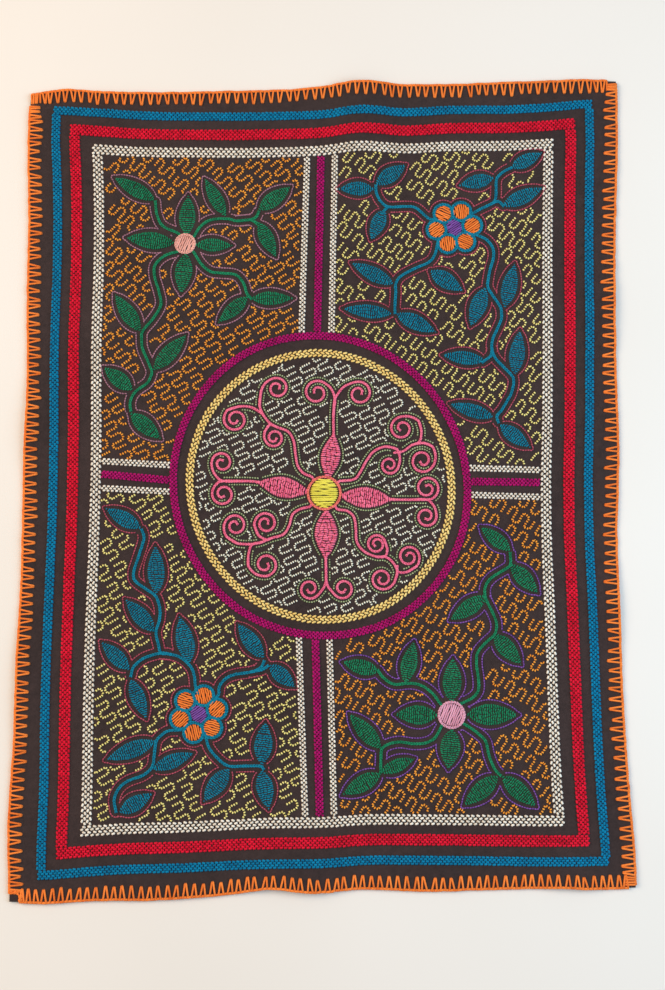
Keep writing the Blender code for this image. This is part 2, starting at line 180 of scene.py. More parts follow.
# The four plants. Stems list the points that they pass through. Leaves: base x, base y, tip x, tip y, width.
PLANTS = {
    "top_left": {
        "leaf": "green_thread",
        "outline": "mauve_thread",
        "stems": (
            ((-163, 274), (-167, 282), (-185, 291), (-192, 305), (-194, 320)),
            ((-154, 273), (-150, 277), (-142, 290), (-130, 298), (-112, 299.5), (-99, 297), (-80, 300),
             (-75, 308)),
            ((-99, 297), (-84, 298), (-77, 294)),
            ((-154, 264), (-149, 260), (-141, 247), (-130, 237.5), (-118, 235.5), (-101, 233.5), (-92, 224),
             (-88, 212), (-83, 206)),
            ((-163, 264), (-167, 261), (-182, 256), (-193, 245), (-193.5, 232), (-188, 213), (-186, 198),
             (-195, 181.5), (-206, 168), (-207, 158), (-206, 148), (-201, 136), (-197, 127), (-195, 120),
             (-197, 113), (-201, 107), (-211, 100), (-216.5, 93), (-219, 84.6), (-218, 76.5)),
        ),
        "leaves": (
            (-158, 280, -156, 327, 18), (-147, 269, -105, 268, 15), (-158, 258, -163, 212, 19),
            (-172, 271, -226, 277, 19), (-195, 322, -241, 348, 16), (-113, 303, -137, 346, 15),
            (-75, 310, -39, 337, 17), (-75, 295, -55, 255, 16), (-83, 206, -35, 206, 15),
            (-87, 208, -120, 178, 15), (-209, 168, -238, 210, 17), (-193, 123, -157, 163, 17),
            (-217, 100, -249, 125.5, 17), (-218, 73, -184, 44, 17),
        ),
    },
    "top_right": {
        "leaf": "teal_thread",
        "outline": "crimson_thread",
        "stems": (
            ((128, 299), (120, 300), (106, 312), (94, 314), (74, 313.6), (65, 320), (60, 330), (59.6, 338)),
            ((74, 313.6), (70, 310)),
            ((132, 276), (130, 270), (128, 260), (124, 252), (118, 247), (104, 241), (88, 232), (82, 223),
             (82, 212), (81, 198), (81, 189)),
            ((168, 301), (170, 305), (180, 311), (192, 317), (197, 323), (198, 334), (198, 342), (200, 349),
             (208, 356), (216, 360)),
            ((192, 317), (200, 320), (206, 315)),
            ((170, 281), (176, 280), (186, 275), (193, 266), (194, 254), (190, 240), (187.6, 228), (187, 219),
             (192, 210), (200, 198), (202, 192), (202, 182), (197, 170), (192, 159), (190.6, 149),
             (193.6, 138), (202, 128), (211.6, 118), (214.6, 113), (214.6, 106), (211.6, 95), (207, 87),
             (201, 77), (195.4, 70), (197, 63)),
            ((191, 147), (189, 139), (180, 132)),
        ),
        "leaves": (
            (60, 340, 94, 363, 17), (57, 334, 17, 334, 15.5), (69, 310, 54, 275, 16), (79, 223, 32, 247, 16),
            (122, 238, 158, 215, 18), (77, 188, 22, 194, 15), (83, 188, 127, 167, 17), (195, 348, 156, 339, 16),
            (216, 360, 251, 378, 15), (206, 315, 251, 336, 17), (184, 218, 167, 174, 18),
            (206, 196, 218, 246, 17), (182, 134, 135, 140, 15), (216, 118, 223, 168, 17),
            (191, 69, 143, 84, 15), (199, 60, 232, 34, 16),
        ),
    },
    "bottom_left": {
        "leaf": "teal_thread",
        "outline": "crimson_thread",
        "stems": (
            ((-139, -240), (-141.7, -232), (-143, -221), (-147, -211), (-158, -201), (-171, -197), (-180, -196),
             (-183, -187), (-186, -173), (-182.5, -160), (-182, -147), (-187, -133), (-198, -125), (-210, -116),
             (-212, -107), (-208, -93), (-203, -77), (-201, -67), (-203.5, -59)),
            ((-171, -197), (-180, -196), (-198, -201), (-210, -211), (-213, -221)),
            ((-122, -249), (-116, -241), (-115, -232), (-107, -223), (-96, -219), (-80, -216.5), (-70, -212),
             (-66, -205)),
            ((-80, -216.5), (-68, -214), (-62, -210)),
            ((-152, -277), (-158, -280), (-171, -281), (-180, -287), (-184, -293), (-186, -307), (-188, -320),
             (-198, -329), (-214, -335), (-224, -343), (-229, -355), (-227, -368)),
            ((-131, -283), (-130, -285), (-126, -299), (-115, -312), (-104, -319), (-88, -319), (-70, -319),
             (-66, -322)),
        ),
        "leaves": (
            (-205, -57, -244, -35, 16), (-186, -130, -188, -77, 18), (-188, -172, -220, -137, 17),
            (-148, -206, -160, -156, 19), (-213, -225, -195.5, -267, 15.5), (-215, -214, -246, -184, 16),
            (-67, -201, -95, -164, 17), (-60, -209, -32, -233, 16), (-223, -369, -188, -349, 16),
            (-185, -292, -238, -312, 17), (-187, -322, -143, -305, 15), (-68, -317, -64, -272, 19),
            (-68, -324, -60, -365, 18), (-104, -322, -131, -357, 18),
        ),
    },
    "bottom_right": {
        "leaf": "green_thread",
        "outline": "purple_thread",
        "stems": (
            ((132, -255), (127.6, -250), (120, -240), (109, -232), (96, -229), (78, -230), (66, -223),
             (60, -215)),
            ((147, -253), (152, -251), (164, -245), (170.6, -237), (171, -224), (169, -208), (170.6, -195),
             (180, -184), (190, -174.5), (191.4, -161.5), (186, -148), (180, -135), (180, -122),
             (187.5, -112), (200.5, -104), (208, -98), (208, -85)),
            ((132, -272), (127.6, -280), (122, -289), (112, -294), (99, -295), (83, -293), (70, -296),
             (64, -301), (63, -312.5), (62.5, -325.5)),
            ((152, -272), (159, -276), (169, -283), (178, -292), (181.5, -307), (187.5, -322), (194, -329)),
        ),
        "leaves": (
            (141, -249, 143, -202, 20), (158, -263, 213.5, -263.5, 22), (141, -279, 137, -322, 21),
            (125, -264, 79, -263, 20), (61, -216, 21, -206, 16), (90, -228, 100, -184, 17),
            (208, -82, 176, -56, 15), (209, -98, 238, -129, 17), (181, -133, 141, -159, 17),
            (189, -175, 218, -208, 18), (63, -300, 28.6, -263, 17), (63, -325.5, 99.5, -311, 14),
            (62.5, -327, 21, -350, 17), (191, -330, 154, -361, 18), (196, -330, 232, -362, 18),
        ),
    },
}
ROW_WAVE = 0.65
LEAF_FULLNESS = 1.07
STEM_HALF_WIDTH = 1.75
OUTLINE_GAP = 4.5

# Flowers with six round petals. Columns: panel, centre x, centre y, first petal's direction, distance out.
SIX_PETALS = (
    ("top_right", 149.6, 289, 7, 20.6),
    ("bottom_left", -137.7, -262.7, 15, 20.8),
)
PETAL_HALF_LENGTH = 9.9
PETAL_HALF_WIDTH = 9.0
EYE_RADIUS = 9.5

# Plain discs that four leaves spring from. Columns: piece, thread, centre x, centre y, radius.
DISCS = (
    ("disc_salmon", "salmon_thread", -159, 270, 12.0),
    ("disc_rose", "rose_thread", 141, -263.5, 15.2),
)

# The medallion. Petals: base x, base y, tip x, tip y, width.
MEDALLION_CENTRE = (0.5, -17.5)
MEDALLION_RADIUS = 16.8
MEDALLION_PETALS = (
    (4, -4, 11.5, 51, 22.0),
    (15, -20, 79, -25, 23.5),
    (3, -33, 2.3, -93, 25.5),
    (-14, -17, -76, -5, 23.5),
)
# Stems and, from the end of each, its curls: centre x, centre y, radius, turning sense (1 is
# counter-clockwise).
MEDALLION_CURLS = (
    (((11, 48), (11, 73), (12.5, 89)), ((-8, 97, 14, 1), (40, 96, 14, -1))),
    (((76, -25), (97, -25), (115.6, -25)), ((116, -12, 13, 1), (115, -44, 11.5, -1))),
    (((2.3, -91), (2.6, -102)), ((-15.5, -125, 11.5, -1), (21.5, -124.5, 11.5, 1))),
    (((-73, -5), (-88, -4), (-113, -4)), ((-114.5, 16.6, 12, -1), (-113, -18.6, 12.5, 1))),
    (((-11.5, -2.2), (-14, 1), (-23, 5), (-29.5, 14), (-32, 28), (-34, 41.5), (-40, 52), (-52, 57), (-61, 62), (-68, 71),
      (-72.6, 82), (-71, 98)), ((-53, 102, 12, -1),)),
    (((-68, 71), (-73, 75), (-82, 80), (-95, 81), (-108, 77)), ((-100, 66, 12.5, 1),)),
    (((-52, 57), (-61, 60), (-66, 53)), ((-56, 45, 10, 1),)),
    (((15.9, -5.6), (18, -4), (34, -2), (41, 6), (48, 19), (57, 30), (70, 35), (82, 32)), ((74, 14, 10, -1),)),
    (((80, 28), (90, 30), (100, 37), (113, 39), (122, 35)), ((111, 19, 13.5, -1),)),
    (((100, 37), (108, 41), (110, 53), (107, 64)), ((88, 56, 13, 1),)),
    (((13, -32.5), (16, -36), (27, -38), (34, -45), (36, -58), (37, -72), (45, -83), (59, -89), (68, -89), (77, -95),
      (82, -106), (79, -117)), ((65, -114, 11.5, -1),)),
    (((59, -89), (68, -89), (71, -81), (68, -71)), ((59, -75, 10, 1),)),
    (((82, -100), (83, -106), (93, -106), (103, -100)), ((95, -89, 11.5, 1),)),
    (((-13.7, -30.9), (-16, -33), (-27, -36), (-35, -42), (-38.5, -54), (-45, -64), (-59, -68.5), (-70, -73), (-82, -75),
      (-97, -74), (-108, -67)), ((-99, -54, 12, -1),)),
    (((-59, -68.5), (-63.5, -70), (-73, -65), (-77.5, -54)), ((-65, -51.5, 11.5, -1),)),
    (((-70, -73), (-80.5, -76), (-84, -88), (-84, -99)), ((-65, -98, 13, 1),)),
)
CORD_HALF_WIDTH = 1.45
CURL_TURNS = 1.62
CURL_HOOK = 2.2
GREEN_GAP = 4.1

# Colour of each thread where it is shaded and where it catches the light, linear.
COLOURS = {
    "cotton": ((0.013, 0.0080, 0.0070), (0.060, 0.035, 0.031)),
    "orange_yarn": ((0.660, 0.105, 0.011), (1.000, 0.265, 0.045)),
    "blue_thread": ((0.001, 0.085, 0.175), (0.001, 0.225, 0.400)),
    "red_thread": ((0.340, 0.0010, 0.011), (0.840, 0.0090, 0.038)),
    "white_thread": ((0.560, 0.440, 0.320), (1.000, 0.900, 0.750)),
    "magenta_thread": ((0.190, 0.0010, 0.055), (0.500, 0.0060, 0.150)),
    "gold_thread": ((0.740, 0.430, 0.100), (1.000, 0.740, 0.260)),
    "amber_thread": ((0.720, 0.190, 0.012), (1.000, 0.420, 0.055)),
    "yellow_thread": ((0.520, 0.420, 0.030), (0.930, 0.790, 0.110)),
    "lemon_thread": ((0.700, 0.550, 0.130), (1.000, 0.850, 0.310)),
    "cream_thread": ((0.760, 0.700, 0.500), (1.000, 0.950, 0.770)),
    "green_thread": ((0.0020, 0.078, 0.032), (0.016, 0.265, 0.115)),
    "teal_thread": ((0.0010, 0.080, 0.130), (0.0060, 0.245, 0.355)),
    "mauve_thread": ((0.170, 0.070, 0.095), (0.440, 0.200, 0.250)),
    "crimson_thread": ((0.200, 0.025, 0.045), (0.480, 0.090, 0.125)),
    "purple_thread": ((0.085, 0.028, 0.145), (0.260, 0.095, 0.390)),
    "sage_thread": ((0.160, 0.210, 0.085), (0.460, 0.530, 0.270)),
    "pink_thread": ((0.620, 0.052, 0.130), (1.000, 0.220, 0.330)),
    "coral_thread": ((0.580, 0.095, 0.065), (1.000, 0.240, 0.180)),
    "salmon_thread": ((0.600, 0.230, 0.165), (0.930, 0.480, 0.390)),
    "rose_thread": ((0.520, 0.190, 0.255), (0.900, 0.440, 0.540)),
}

# Where the photograph was taken from, and how far it looks from straight down.
CAMERA_PLACE = (9.8, -194.5, 1534.7)
CAMERA_TILT = 0.113565
CAMERA_LENS = 50.0


def smooth_through(table, place):
    """A smooth curve through a table's rows, read at one place or at many."""
    at, value = np.array(table, dtype=float).T
    slope = np.gradient(value, at)
    place = np.clip(place, at[0], at[-1])
    row = np.clip(np.searchsorted(at, place) - 1, 0, len(at) - 2)
    span = at[row + 1] - at[row]
    u = (place - at[row]) / span
    start = (2 * u**3 - 3 * u**2 + 1) * value[row] + (u**3 - 2 * u**2 + u) * span * slope[row]
    return start + (3 * u**2 - 2 * u**3) * value[row + 1] + (u**3 - u**2) * span * slope[row + 1]


def fold_height(x, y):
    height = np.zeros(np.shape(x))
    for _, centre_x, centre_y, direction, half_length, half_width, rise in FOLDS:
        turn = np.radians(direction)
        along = (x - centre_x) * np.cos(turn) + (y - centre_y) * np.sin(turn)
        across = (y - centre_y) * np.cos(turn) - (x - centre_x) * np.sin(turn)
        swell = np.cos(np.clip(along / half_length, -1, 1) * np.pi / 2)
        swell = swell * np.cos(np.clip(across / half_width, -1, 1) * np.pi / 2)
        height = height + rise * swell**2
    return height


def lift(x, y):
    """Height of the underside above the surface, which is zero where the cloth touches it."""
    outside = np.maximum(np.abs(x) - CONTACT_HALF_WIDTH, np.abs(y) - CONTACT_HALF_LENGTH)
    return fold_height(x, y) + EDGE_CURL * (np.maximum(outside, 0) / CURL_REACH) ** 1.5


def edge_side(side, place):
    nominal = CLOTH_LENGTH / 2 if side in ("top", "bottom") else CLOTH_WIDTH / 2
    return nominal + smooth_through(EDGE_SIDES[side], place)


def frame_side(side, place):
    return smooth_through(FRAME_SIDES[side], place)


def depth_inside(side_distance, reach_ends, reach_sides, x, y):
    """How far inside a four-sided line a point lies. The reaches move its sides outwards."""
    return np.minimum.reduce([
        side_distance("top", x) + reach_ends - y,
        side_distance("bottom", x) + reach_ends + y,
        side_distance("left", y) + reach_sides + x,
        side_distance("right", y) + reach_sides - x,
    ])


def side_corner(side_distance, reach_ends, reach_sides, end, side):
    x, y = 0.0, 0.0
    for _ in range(8):
        x = SIGNS[side] * (side_distance(side, y) + reach_sides)
        y = SIGNS[end] * (side_distance(end, x) + reach_ends)
    return x, y


def side_path(side_distance, reach_ends, reach_sides, side, step=4.0):
    """Points along one side of a four-sided line, from corner to corner."""
    if side in ("top", "bottom"):
        start = side_corner(side_distance, reach_ends, reach_sides, side, "left")[0]
        stop = side_corner(side_distance, reach_ends, reach_sides, side, "right")[0]
        place = np.linspace(start, stop, int((stop - start) / step) + 1)
        return np.column_stack([place, SIGNS[side] * (side_distance(side, place) + reach_ends)])
    start = side_corner(side_distance, reach_ends, reach_sides, "bottom", side)[1]
    stop = side_corner(side_distance, reach_ends, reach_sides, "top", side)[1]
    place = np.linspace(start, stop, int((stop - start) / step) + 1)
    return np.column_stack([SIGNS[side] * (side_distance(side, place) + reach_sides), place])


def pucker(x, y):
    """Small unevenness that hand stitching draws into the cotton."""
    wave = np.zeros(np.shape(x))
    for length, direction, phase, height in PUCKERS:
        along = x * np.cos(direction) + y * np.sin(direction)
        wave = wave + height * np.sin(along * 2 * np.pi / length + phase)
    return wave


def top_height(x, y):
    """Height of the stitched face above the surface that the cloth lies on."""
    return lift(x, y) + CLOTH_THICKNESS + pucker(x, y)


def to_metres(points):
    """Plan coordinates to the part's own frame, whose origin is under the middle of the cloth."""
    moved = np.array(points, dtype=float)
    moved[:, 0] -= MIDDLE[0]
    moved[:, 1] -= MIDDLE[1]
    return moved * MM


def curve_through(points, step):
    """A smooth line through the points, as evenly spaced points."""
    points = np.array(points, dtype=float)
    if len(points) > 2:
        padded = np.vstack([2 * points[0] - points[1], points, 2 * points[-1] - points[-2]])
        u = np.linspace(0, 1, 9)[:-1, None]
        parts = []
        for a, b, c, d in zip(padded[:-3], padded[1:-2], padded[2:-1], padded[3:]):
            parts.append(0.5 * (2 * b + (c - a) * u + (2 * a - 5 * b + 4 * c - d) * u**2
                                + (3 * b - a - 3 * c + d) * u**3))
        points = np.vstack(parts + [points[-1:]])
    return even_points(points, step)


def even_points(points, step):
    far = np.concatenate([[0], np.cumsum(np.linalg.norm(np.diff(points, axis=0), axis=1))])
    count = max(int(round(far[-1] / step)), 1)
    at = np.linspace(0, far[-1], count + 1)
    return np.column_stack([np.interp(at, far, points[:, 0]), np.interp(at, far, points[:, 1])])


def left_normals(path):
    along = np.gradient(path, axis=0)
    along = along / np.maximum(np.linalg.norm(along, axis=1, keepdims=True), 1e-9)
    return np.column_stack([-along[:, 1], along[:, 0]])


class Work:
    """Stitches that go into one piece: each is a short closed thread that dips into the cotton at its ends."""

    def __init__(self, sides=5):
        self.sides = sides
        self.groups = []

    def threads(self, spots, heights, half_width, half_height, ends=True):
        """Adds stitches. `spots` is stitches by points by (x, y), and `heights` is above the cotton."""
        spots = np.asarray(spots, dtype=float)
        if len(spots) == 0:
            return
        z = top_height(spots[..., 0], spots[..., 1]) + heights
        spine = np.concatenate([spots, z[..., None]], axis=2)
        shape = spots.shape[:2]
        wide = np.broadcast_to(half_width, shape).copy()
        high = np.broadcast_to(half_height, shape).copy()
        if ends:
            wide[:, [0, -1]] = 0
            high[:, [0, -1]] = 0
        self.groups.append((spine, wide, high))

    def straight(self, start, stop, half_width, height=0.5, marks=(0, 0.2, 0.8, 1), dip=0.35, bow=0.0):
        """Adds straight stitches from the start points to the stop points."""
        start, stop = np.asarray(start, dtype=float), np.asarray(stop, dtype=float)
        if len(start) == 0:
            return
        marks = np.array(marks)[None, :, None]
        spots = start[:, None, :] * (1 - marks) + stop[:, None, :] * marks
        rise = np.full(marks.shape[1], height)
        rise = rise + bow * np.sin(np.pi * marks[0, :, 0])
        rise[[0, -1]] = -dip
        self.threads(spots, rise, half_width, half_width * 0.8)

    def along(self, path, half_width, height=0.5, length=0.94, marks=(0, 0.2, 0.8, 1)):
        """Adds a line of stitches, one between each two points of an evenly spaced path."""
        path = np.asarray(path, dtype=float)
        middle = (path[1:] + path[:-1]) / 2
        reach = (path[1:] - path[:-1]) / 2 * length
        self.straight(middle - reach, middle + reach, half_width, height, marks)

    def mesh(self, name):
        sides = self.sides
        turn = np.arange(sides) * 2 * np.pi / sides + np.pi / sides
        places, tones, tris, quads, tri_uv, quad_uv = [], [], [], [], [], []
        first = 0
        for spine, wide, high in self.groups:
            number, rings = spine.shape[0], spine.shape[1] - 2
            along = np.gradient(spine[..., :2], axis=1)
            along = along / np.maximum(np.linalg.norm(along, axis=2, keepdims=True), 1e-9)
            side = np.stack([-along[..., 1], along[..., 0], np.zeros(along.shape[:2])], axis=2)
            body = spine[:, 1:-1, None, :] + side[:, 1:-1, None, :] * (wide[:, 1:-1, None] * np.cos(turn))[..., None]
            body[..., 2] += high[:, 1:-1, None] * np.sin(turn)
            each = rings * sides + 2
            points = np.concatenate([spine[:, :1], body.reshape(number, -1, 3), spine[:, -1:]], axis=1)
            places.append(points.reshape(-1, 3))
            tones.append(np.repeat(RANDOM.random(number), each))
            far = np.concatenate([np.zeros((number, 1)),
                                  np.cumsum(np.linalg.norm(np.diff(spine, axis=1), axis=2), axis=1)], axis=1)
            far = far / TWIST_LENGTH + RANDOM.random((number, 1))
            base = first + np.arange(number)[:, None, None] * each
            j = np.arange(sides)
            k = (j + 1) % sides
            v, w = j / sides, (j + 1) / sides
            start = np.stack([np.zeros(sides, int), 1 + k, 1 + j], axis=1)
            tris.append((base + start).reshape(-1, 3))
            last = 1 + (rings - 1) * sides
            stop = np.stack([np.full(sides, each - 1), last + j, last + k], axis=1)
            tris.append((base + stop).reshape(-1, 3))
            u0, u1 = far[:, :1] + 0 * v, far[:, 1:2] + 0 * v
            tri_uv.append(np.stack([np.stack([u0 + (v + w) / 2, u1 + w, u1 + v], 2),
                                    np.stack([0 * u0 + (v + w) / 2, 0 * u0 + w, 0 * u0 + v], 2)], 3).reshape(-1, 2))
            u0, u1 = far[:, -1:] + 0 * v, far[:, -2:-1] + 0 * v
            tri_uv.append(np.stack([np.stack([u0 + (v + w) / 2, u1 + v, u1 + w], 2),
                                    np.stack([0 * u0 + (v + w) / 2, 0 * u0 + v, 0 * u0 + w], 2)], 3).reshape(-1, 2))
            for ring in range(rings - 1):
                low = 1 + ring * sides
                high_ring = low + sides
                block = np.stack([low + j, low + k, high_ring + k, high_ring + j], axis=1)
                quads.append((base + block).reshape(-1, 4))
                u0, u1 = far[:, ring + 1:ring + 2] + 0 * v, far[:, ring + 2:ring + 3] + 0 * v
                quad_uv.append(np.stack([np.stack([u0 + v, u0 + w, u1 + w, u1 + v], 2),
                                         np.stack([0 * u0 + v, 0 * u0 + w, 0 * u0 + w, 0 * u0 + v], 2)],
                                        3).reshape(-1, 2))
            first += number * each
        return build_mesh(name, to_metres(np.vstack(places)), tris, quads, tri_uv + quad_uv, np.concatenate(tones))


def build_mesh(name, places, tris, quads, uvs, tones):
    """A mesh from numpy blocks of triangles and quads, with its thread direction and a tone for each stitch."""
    tri = np.vstack(tris) if tris else np.zeros((0, 3), int)
    quad = np.vstack(quads) if quads else np.zeros((0, 4), int)
    mesh = bpy.data.meshes.new(name)
    mesh.vertices.add(len(places))
    mesh.vertices.foreach_set("co", places.ravel())
    corners = np.concatenate([tri.ravel(), quad.ravel()])
    sizes = np.concatenate([np.full(len(tri), 3), np.full(len(quad), 4)])
    starts = np.concatenate([[0], np.cumsum(sizes)[:-1]])
    mesh.loops.add(len(corners))
    mesh.loops.foreach_set("vertex_index", corners)
    mesh.polygons.add(len(sizes))
    mesh.polygons.foreach_set("loop_start", starts)
    mesh.polygons.foreach_set("loop_total", sizes)
    mesh.polygons.foreach_set("use_smooth", np.ones(len(sizes), bool))
    if uvs is not None:
        layer = mesh.uv_layers.new(name="thread")
        layer.data.foreach_set("uv", np.vstack(uvs).ravel())
    if tones is not None:
        tone = mesh.attributes.new("tone", "FLOAT", "POINT")
        tone.data.foreach_set("value", tones)
    mesh.update()
    return mesh


def node(material, kind, **settings):
    made = material.node_tree.nodes.new(kind)
    for name, value in settings.items():
        if isinstance(value, (int, float, tuple)) and name in made.inputs:
            made.inputs[name].default_value = value
        else:
            setattr(made, name, value)
    return made


def link(material, source, target):
    material.node_tree.links.new(source, target)


def new_material(name):
    material = bpy.data.materials.new(name)
    material.use_nodes = True
    shader = material.node_tree.nodes["Principled BSDF"]
    return material, shader


def colour_ramp(material, dark, light, start=0.0, stop=1.0):
    ramp = node(material, "ShaderNodeValToRGB")
    ramp.color_ramp.elements[0].position = start
    ramp.color_ramp.elements[0].color = (*dark, 1)
    ramp.color_ramp.elements[1].position = stop
    ramp.color_ramp.elements[1].color = (*light, 1)
    return ramp


def thread_material(slot):
    """Stranded thread: a twist along each stitch, painted paler on its ridges as painted highlight, and no two stitches
    quite alike; its colour runs from a painted shade colour to a painted highlight colour.
    """
    dark, light = COLOURS[slot]
    material, shader = new_material(slot)
    shader.inputs["Roughness"].default_value = 0.72
    shader.inputs["Sheen Weight"].default_value = 0.03
    shader.inputs["Sheen Roughness"].default_value = 0.5
    shader.inputs["Specular IOR Level"].default_value = 0.10
    uv = node(material, "ShaderNodeUVMap", uv_map="thread")
    twist = node(material, "ShaderNodeTexWave", wave_type="BANDS", bands_direction="X", Scale=0.314, Distortion=0.6)
    link(material, uv.outputs["UV"], twist.inputs["Vector"])
    place = node(material, "ShaderNodeTexCoord")
    patches = node(material, "ShaderNodeTexNoise", Scale=60.0, Detail=2.0)
    link(material, place.outputs["Object"], patches.inputs["Vector"])
    fibre = node(material, "ShaderNodeTexNoise", Scale=2600.0, Detail=3.0)
    link(material, place.outputs["Object"], fibre.inputs["Vector"])
    tone = node(material, "ShaderNodeAttribute", attribute_name="tone")
    blend = node(material, "ShaderNodeMath", operation="MULTIPLY")
    blend.inputs[1].default_value = 0.42
    link(material, tone.outputs["Fac"], blend.inputs[0])
    more = node(material, "ShaderNodeMath", operation="MULTIPLY_ADD")
    more.inputs[1].default_value = 0.38
    link(material, twist.outputs["Fac"], more.inputs[0])
    link(material, blend.outputs[0], more.inputs[2])
    total = node(material, "ShaderNodeMath", operation="MULTIPLY_ADD")
    total.inputs[1].default_value = 0.5
    link(material, patches.outputs["Fac"], total.inputs[0])
    link(material, more.outputs[0], total.inputs[2])
    # Colour: a ramp from the painted shade colour to the painted highlight colour, moved by the twist (painted
    # highlight on its turns, painted shade between them), a random tone for each stitch and broad patches.
    ramp = colour_ramp(material, dark, light, 0.12, 0.95)
    link(material, total.outputs[0], ramp.inputs["Fac"])
    link(material, ramp.outputs["Color"], shader.inputs["Base Color"])
    bump = node(material, "ShaderNodeBump", Strength=0.6, Distance=0.0003)
    link(material, twist.outputs["Fac"], bump.inputs["Height"])
    fuzz = node(material, "ShaderNodeBump", Strength=0.3, Distance=0.0002)
    link(material, fibre.outputs["Fac"], fuzz.inputs["Height"])
    link(material, bump.outputs["Normal"], fuzz.inputs["Normal"])
    link(material, fuzz.outputs["Normal"], shader.inputs["Normal"])
    return material


def cotton_material():
    """Dark plain weave: crossing threads, small slubs, and faint fading in broad patches."""
    dark, light = COLOURS["cotton"]
    material, shader = new_material("cotton")
    shader.inputs["Roughness"].default_value = 0.9
    shader.inputs["Sheen Weight"].default_value = 0.08
    shader.inputs["Sheen Roughness"].default_value = 0.6
    shader.inputs["Specular IOR Level"].default_value = 0.12
    place = node(material, "ShaderNodeTexCoord")
    weave = []
    for direction in ("X", "Y"):
        wave = node(material, "ShaderNodeTexWave", wave_type="BANDS", bands_direction=direction, Scale=480.0,
                    Distortion=1.2, Detail=1.0)
        wave.inputs["Detail Scale"].default_value = 0.4
        link(material, place.outputs["Object"], wave.inputs["Vector"])
        weave.append(wave)
    cross = node(material, "ShaderNodeMath", operation="MULTIPLY")
    link(material, weave[0].outputs["Fac"], cross.inputs[0])
    link(material, weave[1].outputs["Fac"], cross.inputs[1])
    slub = node(material, "ShaderNodeTexNoise", Scale=420.0, Detail=4.0, Roughness=0.7)
    link(material, place.outputs["Object"], slub.inputs["Vector"])
    fade = node(material, "ShaderNodeTexNoise", Scale=9.0, Detail=3.0)
    link(material, place.outputs["Object"], fade.inputs["Vector"])
    first = node(material, "ShaderNodeMath", operation="MULTIPLY_ADD")
    first.inputs[1].default_value = 0.45
    link(material, slub.outputs["Fac"], first.inputs[0])
    mottle = node(material, "ShaderNodeTexNoise", Scale=110.0, Detail=3.0)
    link(material, place.outputs["Object"], mottle.inputs["Vector"])
    both = node(material, "ShaderNodeMath", operation="ADD")
    link(material, fade.outputs["Fac"], both.inputs[0])
    link(material, mottle.outputs["Fac"], both.inputs[1])
    scaled = node(material, "ShaderNodeMath", operation="MULTIPLY")
    scaled.inputs[1].default_value = 0.34
    link(material, both.outputs[0], scaled.inputs[0])
    link(material, scaled.outputs[0], first.inputs[2])
    second = node(material, "ShaderNodeMath", operation="MULTIPLY_ADD")
    second.inputs[1].default_value = 0.35
    link(material, cross.outputs[0], second.inputs[0])
    link(material, first.outputs[0], second.inputs[2])
    ramp = colour_ramp(material, dark, light, 0.32, 0.87)
    link(material, second.outputs[0], ramp.inputs["Fac"])
    link(material, ramp.outputs["Color"], shader.inputs["Base Color"])
    bump = node(material, "ShaderNodeBump", Strength=0.7, Distance=0.0003)
    link(material, cross.outputs[0], bump.inputs["Height"])
    rough = node(material, "ShaderNodeBump", Strength=0.5, Distance=0.0004)
    link(material, slub.outputs["Fac"], rough.inputs["Height"])
    link(material, bump.outputs["Normal"], rough.inputs["Normal"])
    link(material, rough.outputs["Normal"], shader.inputs["Normal"])
    return material


def floor_material():
    material, shader = new_material("pale_floor")
    shader.inputs["Roughness"].default_value = 0.85
    place = node(material, "ShaderNodeTexCoord")
    cloud = node(material, "ShaderNodeTexNoise", Scale=2.0, Detail=2.0)
    link(material, place.outputs["Object"], cloud.inputs["Vector"])
    ramp = colour_ramp(material, (0.79, 0.712, 0.622), (0.825, 0.748, 0.662), 0.3, 0.7)
    link(material, cloud.outputs["Fac"], ramp.inputs["Fac"])
    link(material, ramp.outputs["Color"], shader.inputs["Base Color"])
    return material


def add_piece(name, mesh, slot):
    thing = bpy.data.objects.new(name, mesh)
    bpy.context.scene.collection.objects.link(thing)
    if slot not in MATERIALS:
        MATERIALS[slot] = cotton_material() if slot == "cotton" else thread_material(slot)
    mesh.materials.append(MATERIALS[slot])
    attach(thing, "root")
    return thing


def add_work(name, work, slot):
    return add_piece(name, work.mesh(name), slot)


